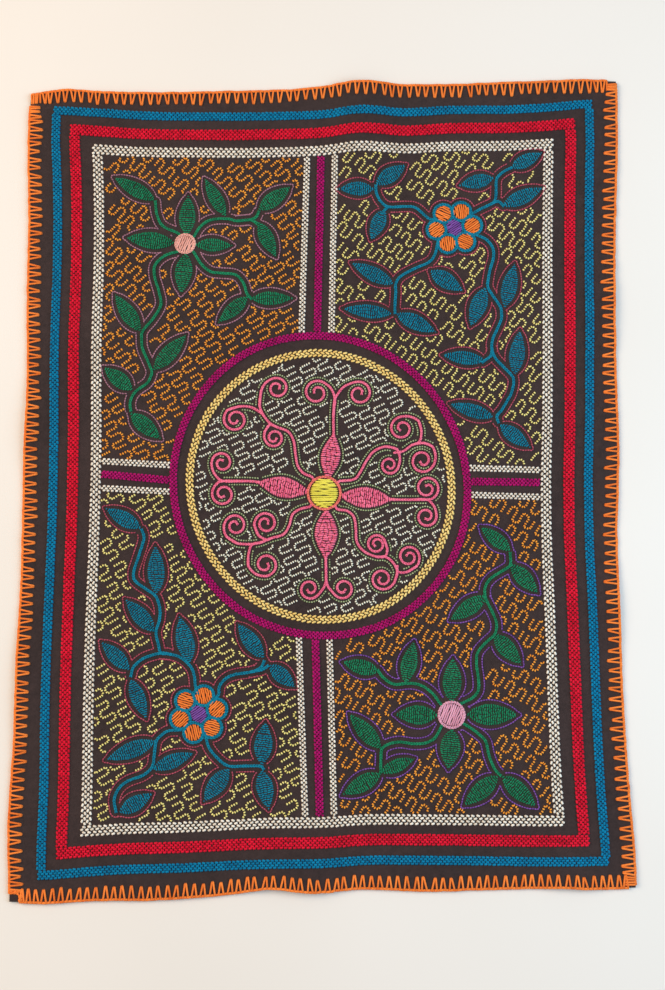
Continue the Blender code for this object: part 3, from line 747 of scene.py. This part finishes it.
def make_cloth():
    """The cotton itself: a fine even sheet, face and back, whose turned edge is rolled over."""
    def lines(half, step):
        rim = np.array([0.0, 0.25, 0.7, 1.5, 3.0, 5.0, 7.5, 9.9, 11.6])
        inner = np.linspace(-(half - 16), half - 16, int(2 * (half - 16) / step) + 1)
        return np.concatenate([rim - half, inner, (half - rim)[::-1]])

    u, v = np.meshgrid(lines(CLOTH_WIDTH / 2, CLOTH_STEP), lines(CLOTH_LENGTH / 2, CLOTH_STEP))
    x, y = u.copy(), v.copy()
    for _ in range(8):
        across = np.where(u > 0, edge_side("right", y), edge_side("left", y)) - CLOTH_WIDTH / 2
        along = np.where(v > 0, edge_side("top", x), edge_side("bottom", x)) - CLOTH_LENGTH / 2
        x = u + across * u / (CLOTH_WIDTH / 2)
        y = v + along * v / (CLOTH_LENGTH / 2)
    depth = np.minimum(CLOTH_WIDTH / 2 - np.abs(u), CLOTH_LENGTH / 2 - np.abs(v))
    roll = np.sqrt(np.clip(1 - (1 - np.clip(depth / 1.5, 0, 1)) ** 2, 0, 1))
    half = CLOTH_THICKNESS / 2
    fold = HEM_RISE * np.clip((HEM_WIDTH - depth) / 1.7, 0, 1)
    face = lift(x, y) + half + (half + fold) * roll + pucker(x, y) * np.clip(depth / 4, 0, 1)
    back = lift(x, y) + half - half * roll

    rows, columns = x.shape
    above = np.arange(rows * columns).reshape(rows, columns)
    below = above.copy()
    below[1:-1, 1:-1] = rows * columns + np.arange((rows - 2) * (columns - 2)).reshape(rows - 2, columns - 2)
    places = np.vstack([np.column_stack([x.ravel(), y.ravel(), face.ravel()]),
                        np.column_stack([x[1:-1, 1:-1].ravel(), y[1:-1, 1:-1].ravel(), back[1:-1, 1:-1].ravel()])])

    def squares(number):
        return [number[:-1, :-1].ravel(), number[:-1, 1:].ravel(), number[1:, 1:].ravel(), number[1:, :-1].ravel()]

    a, b, c, d = squares(above)
    e, f, g, h = squares(below)
    quads = [np.column_stack([a, b, c, d]), np.column_stack([e, h, g, f])]
    mesh = build_mesh("cotton_cloth", to_metres(places), [], quads, None, None)
    cloth = add_piece("cotton_cloth", mesh, "cotton")
    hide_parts("cloth")
    return cloth


def close_rows(work, path, band, closed=False):
    """A band of running stitches in close rows, each row half a stitch on from the one beside it."""
    width, rows, pitch, covered, half_width, lean = band
    path = np.asarray(path, dtype=float)
    if closed:
        path = np.vstack([path, path[:1]])
    far = np.concatenate([[0], np.cumsum(np.linalg.norm(np.diff(path, axis=0), axis=1))])
    normal = left_normals(path)
    if closed:
        normal[0] = normal[-1] = (normal[0] + normal[-1]) / 2
    count = int(round(far[-1] / pitch))
    step = far[-1] / count
    for row in range(rows):
        middle = (np.arange(count) + 0.25 + 0.5 * (row % 2)) * step + RANDOM.normal(0, 0.16, count)
        aside = ((row + 0.5) / rows - 0.5) * width + RANDOM.normal(0, 0.12, count)
        ends = []
        for sign in (-1, 1):
            place = middle + sign * step * covered / 2
            place = place % far[-1] if closed else np.clip(place, 0, far[-1])
            reach = aside + sign * lean * (1 - 2 * (row % 2))
            ends.append(np.column_stack([np.interp(place, far, path[:, k]) + np.interp(place, far, normal[:, k]) * reach
                                         for k in (0, 1)]))
        work.straight(ends[0], ends[1], half_width, 0.75)


def make_frame():
    for name, slot, reach_ends, reach_sides, *band in FRAME_BANDS:
        work = Work()
        inset = int(band[0] / 2)
        for side in ("top", "bottom", "left", "right"):
            path = side_path(frame_side, reach_ends, reach_sides, side)
            if side in ("top", "bottom"):
                along = (path[-1] - path[0]) / np.linalg.norm(path[-1] - path[0])
                path = np.vstack([path[0] - along * inset, path, path[-1] + along * inset])
            else:
                path = even_points(path, 1.0)[inset:-inset]
            close_rows(work, path, band)
        add_work(name, work, slot)


def ring_bend(ring, turn):
    """How far a ring bends out from its even oval in one direction or in many."""
    table = [(degrees + lap, bends[ring]) for lap in (-360, 0, 360) for degrees, *bends in RING_BENDS]
    return smooth_through(table, np.degrees(turn) % 360)


def ring_path(ring):
    half_width, half_height = RINGS[ring][2:4]
    turn = np.arange(360) * 2 * np.pi / 360
    grow = 1 + ring_bend(ring, turn) / ((half_width + half_height) / 2)
    return np.column_stack([RING_CENTRE[0] + half_width * grow * np.cos(turn),
                            RING_CENTRE[1] + half_height * grow * np.sin(turn)])


def ring_outside(ring, x, y):
    """How far outside a ring's middle line a point lies."""
    half_width, half_height = RINGS[ring][2:4]
    part_x, part_y = (x - RING_CENTRE[0]) / half_width, (y - RING_CENTRE[1]) / half_height
    outside = (np.hypot(part_x, part_y) - 1) * (half_width + half_height) / 2
    return outside - ring_bend(ring, np.arctan2(part_y, part_x))


def make_rings():
    for ring, (name, slot, _, _, *band) in enumerate(RINGS):
        work = Work()
        close_rows(work, ring_path(ring), band, closed=True)
        add_work(name, work, slot)


def bar_path(side, at_ring, at_frame):
    """The middle of a bar, from the magenta ring's outer edge to the white band's inner edge."""
    half_width, half_height, ring_width = RINGS[0][2:5]
    upright = side in ("top", "bottom")
    across, along = (half_width, half_height) if upright else (half_height, half_width)
    centre_across, centre_along = RING_CENTRE if upright else RING_CENTRE[::-1]
    part_across = (at_ring - centre_across) / across
    part_along = SIGNS[side] * np.sqrt(1 - part_across**2)
    turn = np.arctan2(part_along, part_across) if upright else np.arctan2(part_across, part_along)
    ring_reach = ring_width / 2 + ring_bend(0, turn)
    frame_distance = frame_side(side, at_frame) - FRAME_BANDS[0][4] / 2
    ends = np.array([[at_ring, centre_along + part_along * along + SIGNS[side] * ring_reach],
                     [at_frame, SIGNS[side] * frame_distance]])
    return even_points(ends if upright else ends[:, ::-1], 4.0)


def make_bars():
    for thread, *band in BAR_WORK:
        work = Work()
        for bar_thread, side, at_ring, at_frame in BARS:
            if bar_thread == thread:
                close_rows(work, bar_path(side, at_ring, at_frame), band)
        add_work("bars_" + thread, work, thread + "_thread")


def edge_spots(side, place, reach):
    """Points at distances along one side of the edge, `reach` in from it."""
    path = side_path(edge_side, 0.0, 0.0, side)
    far = np.concatenate([[0], np.cumsum(np.linalg.norm(np.diff(path, axis=0), axis=1))])
    spots = np.column_stack([np.interp(place, far, path[:, k]) for k in (0, 1)])
    spots[:, 1 if side in ("top", "bottom") else 0] -= SIGNS[side] * np.broadcast_to(reach, len(spots))
    return spots


def edge_length(side):
    path = side_path(edge_side, 0.0, 0.0, side)
    return np.linalg.norm(np.diff(path, axis=0), axis=1).sum()


def wrap_yarn(work, feet, tips):
    """Yarn from under the edge, over it and in to a stitch hole."""
    marks = np.array([-0.07, 0.0, 0.1, 0.45, 0.9, 1.0])[None, :, None]
    spots = feet[:, None] * (1 - marks) + tips[:, None] * marks
    heights = np.array([-2.2, -0.4, 1.3, 1.2, 0.9, -0.4])
    work.threads(spots, heights, YARN_HALF_WIDTH, YARN_HALF_WIDTH * 0.85)


def edge_pairs(pitch, start, stop):
    """Middles of the pairs of stitches along a side, closer together towards its ends."""
    middles = [start + pitch * 0.3]
    while middles[-1] < stop - pitch * 0.3:
        end_gap = max(min(middles[-1] - start, stop - middles[-1]), 0)
        middles.append(middles[-1] + pitch * (1 - 0.35 * math.exp(-end_gap / 14)))
    middles = np.array(middles)
    return middles[0] + (middles - middles[0]) * (stop - pitch * 0.3 - middles[0]) / (middles[-1] - middles[0])


def make_edging():
    """Yarn overcast round the edge: pairs of stitches that meet in a point, and the yarn along the rim."""
    work = Work(sides=6)
    for side, pitch, bare_start, close_start, bare_stop, close_stop in EDGE_RUNS:
        stop = edge_length(side) - bare_stop
        middle = edge_pairs(pitch, bare_start + close_start * CLOSE_PITCH, stop - close_stop * CLOSE_PITCH)
        spread = np.minimum(EDGE_SPREAD, np.gradient(middle) * 0.66)
        middle = middle + RANDOM.normal(0, 0.45, len(middle))
        depth = EDGE_DEPTH + RANDOM.normal(0, 0.8, len(middle))
        lean = RANDOM.normal(0, 0.8, len(middle))
        for sign in (-1, 1):
            feet = edge_spots(side, middle + sign * spread / 2, -0.4)
            tips = edge_spots(side, middle + lean + sign * 0.45, depth)
            wrap_yarn(work, feet, tips)
        close = np.concatenate([bare_start + CLOSE_PITCH * (np.arange(close_start) + 0.3),
                                stop - CLOSE_PITCH * (np.arange(close_stop) + 0.3)])
        close = close + RANDOM.normal(0, 0.15, len(close))
        wrap_yarn(work, edge_spots(side, close, -0.4),
                  edge_spots(side, close + RANDOM.normal(0, 0.6, len(close)), EDGE_DEPTH - 2.5))
        rim = edge_spots(side, np.linspace(bare_start, stop, int((stop - bare_start) / 4.9) + 1), 0.1)
        rim = rim + RANDOM.normal(0, 0.22, rim.shape)
        work.along(rim, YARN_HALF_WIDTH * 1.35, 0.2, length=1.25, marks=(0, 0.15, 0.5, 0.85, 1))
    start = edge_spots("left", np.array([EDGE_RUNS[2][2]]), 0.3)[0]
    stop = edge_spots("bottom", np.array([EDGE_RUNS[1][2]]), 0.3)[0]
    for step in (0.0, 2.4):
        bend = np.array([stop[0] + step, start[1] + step])
        line = [start + (0, step), bend - (2, 0), bend - (0, 2), stop + (step, 0)]
        work.along(curve_through(line, 4.0), YARN_HALF_WIDTH, 0.9, length=1.25)
    add_work("edging", work, "orange_yarn")


def leaf_half_width(width, part):
    """Half the width of a leaf at a part of its length, fuller towards its stem."""
    part = np.clip(part, 0, 1)
    return width * LEAF_FULLNESS / 2 * np.sin(np.pi * part**0.86) ** 0.84


def leaf_axis(leaf):
    base, tip = np.array(leaf[:2], dtype=float), np.array(leaf[2:4], dtype=float)
    length = np.linalg.norm(tip - base)
    along = (tip - base) / length
    return base, length, along, np.array([-along[1], along[0]])


def petal_half_width(width, part):
    """Half the width of a medallion petal at a part of its length: a spindle with narrow ends."""
    return np.maximum(width / 2 * np.sin(np.pi * np.clip(part, 0, 1)) ** 1.1, 1.8)


def petal_gap(petal, spots):
    """How far beside a medallion petal points lie. Points beyond its ends are far away."""
    base, length, along, across = leaf_axis(petal)
    part = (spots - base) @ along / length
    gap = np.abs((spots - base) @ across) - petal_half_width(petal[4], part)
    return np.where((part > 0) & (part < 1), gap, np.inf)


def rows_across(work, shape, half_width_at, pitch, stitch, thread, first=0.0):
    """Fills a leaf or a petal with wavy rows of short stitches laid across it."""
    base, length, along, across = leaf_axis(shape)
    phase = RANDOM.random() * 6
    starts, stops = [], []
    for place in np.arange(first + pitch / 2, length - 0.3, pitch):
        half = half_width_at(shape[4], place / length)
        count = max(int(round(2 * half / stitch)), 1)
        edges = np.linspace(-half, half, count + 1)
        edges[1:-1] += RANDOM.normal(0, stitch * 0.2, count - 1)
        sway = place + ROW_WAVE * np.sin(edges * 0.75 + phase + place * 0.1)
        spots = base + along * sway[:, None] + across * edges[:, None]
        starts.append(spots[:-1])
        stops.append(spots[1:])
    starts, stops = np.vstack(starts), np.vstack(stops)
    reach = (stops - starts) * 0.08
    wobble = RANDOM.normal(0, 0.12, starts.shape)
    work.straight(starts - reach + wobble, stops + reach + wobble, thread, 0.6)


def cord(work, path, half_width, pitch=3.0, height=0.6):
    """Chain stitch: two rows of short stitches that meet in points along the middle of the line."""
    path = even_points(np.asarray(path, dtype=float), pitch)
    if len(path) < 3:
        return
    normal = left_normals(path)
    along = np.column_stack([normal[:, 1], -normal[:, 0]])
    for side in (1, -1):
        start = path - along * pitch * 0.75 + normal * side * half_width * 0.15
        stop = path + along * pitch * 0.65 + normal * side * half_width * 0.72
        wobble = RANDOM.normal(0, 0.08, start.shape)
        work.straight(start + wobble, stop + wobble, half_width * 0.53, height)


def leaf_discs(leaf, reach):
    """Discs that cover a leaf and the bare cotton round it. Returns centres and radii."""
    base, length, along, across = leaf_axis(leaf)
    part = np.linspace(0, 1.04, 26)
    centres = base + along * (part * length)[:, None]
    radii = leaf_half_width(leaf[4], np.clip(part, 0, 1)) + reach * np.clip((1.17 - part) / 0.22, 0.4, 1)
    return centres, radii


def chain_outline(centres, radii):
    """The line round a chain of discs: up one side and back down the other, with a round start."""
    if len(centres) == 1:
        turn = np.linspace(0, 2 * np.pi, 73)
        return centres + radii[0] * np.column_stack([np.cos(turn), np.sin(turn)])
    normal = left_normals(centres)
    left = centres + normal * radii[:, None]
    right = centres - normal * radii[:, None]
    far_cap = half_circle(centres[-1], radii[-1], normal[-1])
    near_cap = half_circle(centres[0], radii[0], -normal[0])
    return np.vstack([left, far_cap, right[::-1], near_cap, left[:1]])


def half_circle(centre, radius, first):
    """Points clockwise round half a circle, from its point in the first direction."""
    turn = math.atan2(first[1], first[0]) - np.linspace(0, np.pi, 9)[1:-1]
    return centre + radius * np.column_stack([np.cos(turn), np.sin(turn)])


def outline_stitches(work, chains, pitch, half_width, height=0.45):
    """Running line round several shapes together, left out wherever another shape covers it."""
    for index, (centres, radii) in enumerate(chains):
        line = even_points(chain_outline(centres, radii), pitch)
        keep = np.ones(len(line), bool)
        for other, (near, reach) in enumerate(chains):
            if other != index:
                gap = np.linalg.norm(line[:, None] - near[None], axis=2) - reach[None]
                keep &= gap.min(axis=1) > -1.6
        pairs = keep[1:] & keep[:-1]
        starts, stops = line[:-1][pairs], line[1:][pairs]
        middle, reach = (starts + stops) / 2, (stops - starts) / 2 * 1.08
        work.straight(middle - reach, middle + reach, half_width, height)


def covered_length(leaf):
    """How much of a leaf, from its base, lies under a plain disc."""
    return max([0.0] + [radius + 0.2 - math.hypot(leaf[0] - x, leaf[1] - y) for _, _, x, y, radius in DISCS])


def plant_chains(panel, reach):
    """Discs over every stem, leaf and flower of one plant."""
    plant = PLANTS[panel]
    chains = []
    for stem in plant["stems"]:
        path = curve_through(stem, 2.0)
        chains.append((path, np.full(len(path), STEM_HALF_WIDTH + reach)))
    for leaf in plant["leaves"]:
        chains.append(leaf_discs(leaf, reach))
    for flower_panel, x, y, first, out in SIX_PETALS:
        if flower_panel == panel:
            for k in range(6):
                turn = math.radians(first + 60 * k)
                spot = np.array([[x + out * math.cos(turn), y + out * math.sin(turn)]])
                chains.append((spot, np.array([PETAL_HALF_LENGTH + 1.5 + reach])))
            chains.append((np.array([[x, y]]), np.array([EYE_RADIUS + reach])))
    for _, _, x, y, radius in DISCS:
        if (x < 0) == panel.endswith("left") and (y > 0) == panel.startswith("top"):
            chains.append((np.array([[x, y]]), np.array([radius + reach])))
    return chains


def single_disc_line(centre, radius, pitch):
    turn = np.linspace(0, 2 * np.pi, max(int(2 * np.pi * radius / pitch), 6) + 1)
    return centre + radius * np.column_stack([np.cos(turn), np.sin(turn)])


def make_plants():
    leaf_work = {"green_thread": Work(), "teal_thread": Work()}
    outline_work = {"mauve_thread": Work(sides=4), "crimson_thread": Work(sides=4), "purple_thread": Work(sides=4)}
    for panel, plant in PLANTS.items():
        work = leaf_work[plant["leaf"]]
        for stem in plant["stems"]:
            line = curve_through(stem, 1.0)
            for _, _, x, y, radius in DISCS:
                line = line[np.hypot(line[:, 0] - x, line[:, 1] - y) > radius + 0.8]
            cord(work, line, STEM_HALF_WIDTH)
        for leaf in plant["leaves"]:
            rows_across(work, leaf, leaf_half_width, 2.35, 3.6, 0.84, covered_length(leaf))
        outline_stitches(outline_work[plant["outline"]], plant_chains(panel, OUTLINE_GAP), 3.0, 1.0)
    for slot, work in list(leaf_work.items()) + list(outline_work.items()):
        kind = "leaves_" if slot in leaf_work else "outlines_"
        add_work(kind + slot.split("_")[0], work, slot)


def wandering_oval(work, centre, half_length, half_width, direction, pitch, thread, wander):
    """Fills a disc or an oval with threads laid along it that wander, so that the cotton shows here and there."""
    along = np.array([math.cos(direction), math.sin(direction)])
    across = np.array([-along[1], along[0]])
    marks = np.array([0, 0.10, 0.30, 0.50, 0.70, 0.90, 1])
    heights = np.full(len(marks), 0.6)
    heights[[0, -1]] = -0.3
    for place in np.arange(-half_width + pitch * 0.45, half_width, pitch):
        half = half_length * math.sqrt(max(1 - (place / half_width) ** 2, 0)) + 0.3
        sideways = np.full(len(marks), place)
        sideways[1:-1] += RANDOM.normal(0, wander, len(marks) - 2)
        spots = centre + along * (2 * marks - 1)[:, None] * half + across * sideways[:, None]
        work.threads(spots[None], heights, thread, thread * 0.75)


def make_flowers():
    petals, eyes, rims = Work(), Work(), Work()
    for _, x, y, first, out in SIX_PETALS:
        for k in range(6):
            turn = math.radians(first + 60 * k)
            centre = np.array([x + out * math.cos(turn), y + out * math.sin(turn)])
            wandering_oval(petals, centre, PETAL_HALF_LENGTH, PETAL_HALF_WIDTH, turn + 0.5, 2.35, 0.98, 0.30)
            cord(rims, single_disc_line(centre, PETAL_HALF_LENGTH + 1.0, 1.0), 1.8)
        wandering_oval(eyes, np.array([x, y]), EYE_RADIUS, EYE_RADIUS, 0.6, 2.2, 0.98, 0.25)
    add_work("flower_petals", petals, "orange_yarn")
    add_work("flower_eyes", eyes, "purple_thread")
    add_work("flower_rims", rims, "teal_thread")
    for name, slot, x, y, radius in DISCS:
        work = Work()
        wandering_oval(work, np.array([x, y]), radius - 1.8, radius - 1.8, 1.2, 2.25, 1.0, 0.32)
        cord(work, single_disc_line((x, y), radius - 1.2, 1.0), 1.5, height=0.9)
        add_work(name, work, slot)


def curl_path(stem, curl):
    """The stem's line carried on round a curl: it closes in on the circle and then spirals inwards."""
    x, y, radius, sense = curl
    centre = np.array([x, y], dtype=float)
    away = np.array(stem[-1], dtype=float) - centre
    t = np.linspace(0, 1, 72)
    turn = 2 * np.pi * CURL_TURNS * t
    reach = radius * (1 - t**1.5) + CURL_HOOK * t
    reach = reach + (np.linalg.norm(away) - radius) * np.clip(1 - turn / (0.5 * np.pi), 0, 1) ** 2
    angle = math.atan2(away[1], away[0]) + sense * turn
    return centre + np.column_stack([np.cos(angle), np.sin(angle)]) * reach[:, None]


def medallion_paths():
    """Every pink line of the medallion: stems alone, and stems carried on into their curls."""
    stems, curls = [], []
    for stem, ends in MEDALLION_CURLS:
        for curl in ends:
            spiral = curl_path(stem, curl)
            joined = curve_through(list(stem[-2:]) + [tuple(p) for p in spiral[4::4]], 1.0)
            curls.append((joined, curl))
        stems.append(curve_through(stem, 1.0))
    return stems, curls


def make_medallion():
    pink, green, coral, yellow = Work(), Work(sides=4), Work(), Work()
    centre = np.array(MEDALLION_CENTRE)
    stems, curls = medallion_paths()
    for stem in stems:
        cord(pink, stem, CORD_HALF_WIDTH, height=0.75)
    for path, _ in curls:
        cord(pink, path, CORD_HALF_WIDTH, height=0.75)
    for petal in MEDALLION_PETALS:
        inside = MEDALLION_RADIUS + 3.0 - np.linalg.norm(np.array(petal[:2]) - centre)
        rows_across(pink, petal, petal_half_width, 2.3, 5.0, 1.0, inside)
    wandering_oval(yellow, centre, MEDALLION_RADIUS, MEDALLION_RADIUS, 0.0, 2.35, 1.18, 0.42)
    cord(coral, single_disc_line(centre, MEDALLION_RADIUS + 1.4, 1.0), 1.5, height=1.0)

    solid = np.vstack([path for path in stems] + [path for path, _ in curls])
    petals = []
    for petal in MEDALLION_PETALS:
        base, length, along, _ = leaf_axis(petal)
        part = np.linspace(0, 1, 30)
        petals.append((base + along * (part * length)[:, None], petal_half_width(petal[4], part)))
    lines = []
    for stem in stems:
        normal = left_normals(stem)
        lines.append(even_points(stem + normal * GREEN_GAP, 2.8))
        lines.append(even_points(stem - normal * GREEN_GAP, 2.8))
    for path, curl in curls:
        outward = left_normals(path) * -curl[3]
        lines.append(even_points(path + outward * GREEN_GAP, 2.8))
    for centres, radii in petals:
        normal = left_normals(centres)
        for side in (1, -1):
            rim = centres + side * normal * radii[:, None]
            lines.append(even_points(rim + side * left_normals(rim) * (GREEN_GAP - 1.2), 2.8))
    taken = np.zeros((0, 2))
    for line in lines:
        gap = np.linalg.norm(line[:, None] - solid[None], axis=2).min(axis=1)
        keep = (gap > GREEN_GAP - 1.3) & (np.linalg.norm(line - centre, axis=1) > MEDALLION_RADIUS + 3.4)
        for petal in MEDALLION_PETALS:
            keep &= petal_gap(petal, line) > 1.6
        if len(taken):
            keep &= np.linalg.norm(line[:, None] - taken[None], axis=2).min(axis=1) > 2.0
        pairs = keep[1:] & keep[:-1]
        starts, stops = line[:-1][pairs], line[1:][pairs]
        middle, reach = (starts + stops) / 2, (stops - starts) / 2 * 0.82
        green.straight(middle - reach, middle + reach, 1.08, 0.5)
        taken = np.vstack([taken, line[keep]])
    add_work("medallion_pink", pink, "pink_thread")
    add_work("medallion_green", green, "sage_thread")
    add_work("medallion_disc", yellow, "yellow_thread")
    add_work("medallion_rim", coral, "coral_thread")
    discs = [(stem, np.full(len(stem), 0.0)) for stem in stems] + [(path, np.full(len(path), 0.0)) for path, _ in curls]
    return discs + [(c, r * 0.88) for c, r in petals] + [(centre[None], np.array([MEDALLION_RADIUS]))]


def bar_gap(x, y):
    """How far outside the bars between the panels a point lies."""
    gap = np.full(np.shape(x), np.inf)
    for side in SIGNS:
        rows = [row for row in BARS if row[1] == side and row[0] == "white"]
        upright = side in ("top", "bottom")
        place, reach = (x, y) if upright else (y, x)
        part = np.clip((SIGNS[side] * reach - 165) / (380 - 165 if upright else 255 - 165), 0, 1)
        low = min(rows, key=lambda row: row[2])
        high = max(rows, key=lambda row: row[2])
        low_edge = low[2] + (low[3] - low[2]) * part - BAR_WIDTH / 2
        high_edge = high[2] + (high[3] - high[2]) * part + BAR_WIDTH / 2
        here = SIGNS[side] * reach > 100
        gap = np.where(here, np.minimum(gap, np.maximum(low_edge - place, place - high_edge)), gap)
    return gap


def in_panel(name, x, y):
    """True where a point lies in the open cotton of one panel."""
    if name == "middle":
        return ring_outside(1, x, y) < -RINGS[1][4] / 2 - 2.4
    clear = ring_outside(0, x, y) > RINGS[0][4] / 2 + 1.6
    clear &= depth_inside(frame_side, 0.0, 0.0, x, y) > FRAME_BANDS[0][4] / 2 + 1.2
    clear &= bar_gap(x, y) > 1.4
    clear &= (x > -5) if name.endswith("right") else (x < -5)
    return clear & ((y > 0) if name.startswith("top") else (y < 0))


PANEL_MIDDLES = {
    "top_left": (-150, 240),
    "top_right": (140, 240),
    "bottom_left": (-150, -240),
    "bottom_right": (140, -240),
    "middle": (-4, -7),
}


def meander_pieces(legs, spacing, leg, roundness):
    """Breaks a strip's legs into runs and gives each run's winding line, as (across, along) offsets."""
    start = 0
    pieces = []
    while start < legs:
        count = int(RANDOM.integers(4, 10))
        points = []
        side = 1 if RANDOM.random() < 0.5 else -1
        for k in range(start, min(start + count, legs)):
            here = k * spacing + RANDOM.normal(0, 0.35)
            reach = leg / 2 + RANDOM.normal(0, 0.5)
            low, high = -side * reach, side * reach
            inner = 1.6 * roundness
            points += [(low * 0.98, here), (0.0, here + RANDOM.normal(0, 0.3)),
                       (high - side * inner, here)]
            if k < min(start + count, legs) - 1:
                points += [(high, here + spacing * (0.5 - 0.28 / max(roundness, 0.5) * 0.6)),
                           (high, here + spacing * (0.5 + 0.28 / max(roundness, 0.5) * 0.6))]
            side = -side
        pieces.append(points)
        start += count
    return pieces


def make_fill(row, obstacles, clearance):
    name, slot, direction, fan, strip, leg, spacing, roundness, pitch, half_width = row
    middle = np.array(PANEL_MIDDLES[name], dtype=float)
    turn = math.radians(direction)
    origin = middle - fan * np.array([math.cos(turn), math.sin(turn)])
    starts, stops, numbers = [], [], []
    half_span = 290.0 if name != "middle" else 175.0
    for across in np.arange(fan - half_span, fan + half_span, strip):
        if across < 60:
            continue
        legs = int(2 * half_span / spacing)
        shift = RANDOM.random() * spacing
        for piece in meander_pieces(legs, spacing, leg, roundness):
            if len(piece) < 4:
                continue
            line = np.array(piece)
            out = across + line[:, 0]
            angle = turn + (line[:, 1] - half_span + shift) / across
            spots = origin + np.column_stack([out * np.cos(angle), out * np.sin(angle)])
            if not in_panel(name, spots[:, 0], spots[:, 1]).any():
                continue
            path = curve_through(spots, pitch)
            starts.append(path[:-1])
            stops.append(path[1:])
            numbers.append(np.arange(len(path) - 1) + (numbers[-1][-1] + 2 if numbers else 0))
    starts, stops, numbers = np.vstack(starts), np.vstack(stops), np.concatenate(numbers)
    spot = (starts + stops) / 2
    keep = in_panel(name, spot[:, 0], spot[:, 1])
    for centres, radii in obstacles:
        near = np.linalg.norm(spot[:, None] - centres[None], axis=2) - radii[None]
        keep &= near.min(axis=1) > clearance
    starts, stops, spot, numbers = starts[keep], stops[keep], spot[keep], numbers[keep]
    run = np.concatenate([[0], np.cumsum(np.diff(numbers) != 1)])
    keep = np.bincount(run)[run] > 3
    starts, stops, spot = starts[keep], stops[keep], spot[keep]
    reach = (stops - starts) / 2 * 0.76
    spot = spot + RANDOM.normal(0, 0.12, spot.shape)
    work = Work()
    work.straight(spot - reach, spot + reach, half_width, 0.55, marks=(0, 0.25, 0.75, 1))
    add_work("filling_" + name, work, slot)


def make_floor():
    mesh = bpy.data.meshes.new("floor")
    size = 2.6
    mesh.from_pydata([(-size, -size, 0), (size, -size, 0), (size, size, 0), (-size, size, 0)], [], [(0, 1, 2, 3)])
    floor = bpy.data.objects.new("floor", mesh)
    bpy.context.scene.collection.objects.link(floor)
    mesh.materials.append(floor_material())
    return floor


def make_camera():
    camera = bpy.data.objects.new("camera", bpy.data.cameras.new("camera"))
    bpy.context.scene.collection.objects.link(camera)
    camera.data.sensor_fit = "VERTICAL"
    camera.data.sensor_height = 36.0
    camera.data.lens = CAMERA_LENS
    camera.location = to_metres([CAMERA_PLACE])[0]
    camera.rotation_euler = (CAMERA_TILT, 0, 0)
    bpy.context.scene.camera = camera


def add_light(name, place, target, size, power, colour):
    data = bpy.data.lights.new(name, "AREA")
    data.shape = "RECTANGLE"
    data.size, data.size_y = size
    data.energy = power
    data.color = colour
    light = bpy.data.objects.new(name, data)
    bpy.context.scene.collection.objects.link(light)
    light.location = place
    light.rotation_euler = (Vector(target) - Vector(place)).to_track_quat("-Z", "Y").to_euler()


def make_light():
    world = bpy.data.worlds.new("room")
    world.use_nodes = True
    world.node_tree.nodes["Background"].inputs["Color"].default_value = (0.95, 0.97, 1.0, 1)
    world.node_tree.nodes["Background"].inputs["Strength"].default_value = 0.485
    bpy.context.scene.world = world
    add_light("window_left", (-2.1, 0.65, 1.9), (-0.2, 0.0, 0), (1.8, 1.8), 66, (1.0, 0.82, 0.64))
    add_light("window_right", (1.45, -0.05, 1.2), (0.4, -0.05, 0), (1.2, 1.6), 29, (0.46, 0.73, 1.0))


outline = np.vstack([side_path(edge_side, 0.0, 0.0, side) for side in SIGNS])
MIDDLE = (outline.min(axis=0) + outline.max(axis=0)) / 2
MATERIALS = {}

bpy.context.scene.view_settings.view_transform = "Standard"
make_camera()
make_light()
make_floor()
make_cloth()
make_frame()
make_rings()
make_bars()
make_edging()
make_plants()
make_flowers()
medallion = make_medallion()
for fill in FILLS:
    if fill[0] == "middle":
        make_fill(fill, medallion, GREEN_GAP + 1.9)
    else:
        make_fill(fill, plant_chains(fill[0], OUTLINE_GAP), 1.5)
